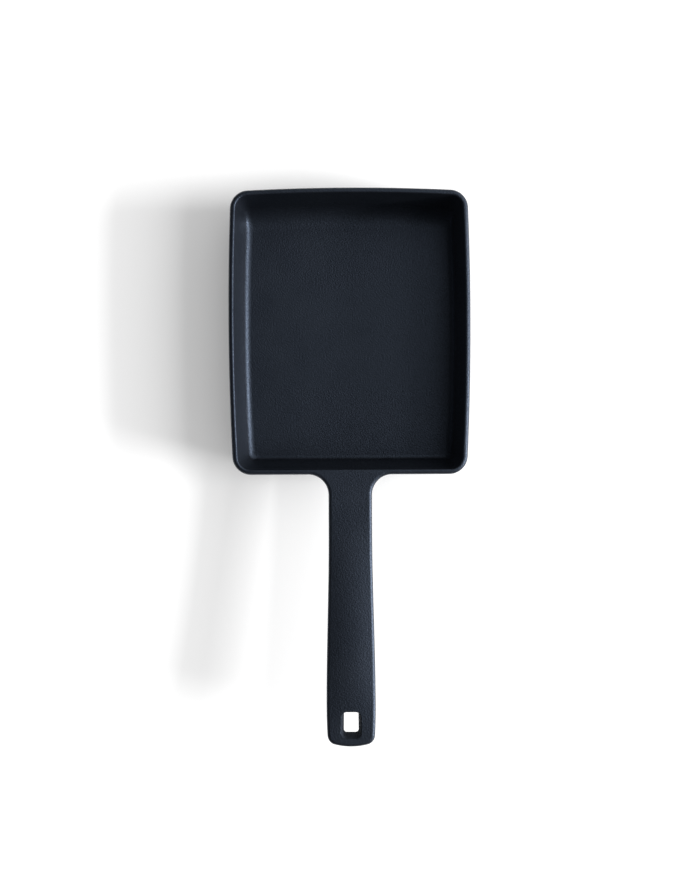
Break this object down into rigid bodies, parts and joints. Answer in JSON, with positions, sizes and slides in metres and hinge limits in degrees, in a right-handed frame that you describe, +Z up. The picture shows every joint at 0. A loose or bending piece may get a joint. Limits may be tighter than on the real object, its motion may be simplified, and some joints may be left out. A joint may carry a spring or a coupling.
{
  "type": "tamagoyaki pan",
  "caption": "Rectangular cast-iron omelette pan with low drafted walls and a flat rising handle cast in one piece, pierced near its end for hanging.",
  "frame": {"origin": "centre of the flat underside, on the surface that the pan stands on", "axes": "+Z up, +Y towards the far wall, away from the handle, and +X to the right seen from the handle"},
  "size_m": [0.1512, 0.346, 0.0439],
  "materials": {
    "iron": "satin"
  },
  "bodies": {
    "root": {"pan_body": "iron", "handle": "iron"}
  },
  "joints": []
}
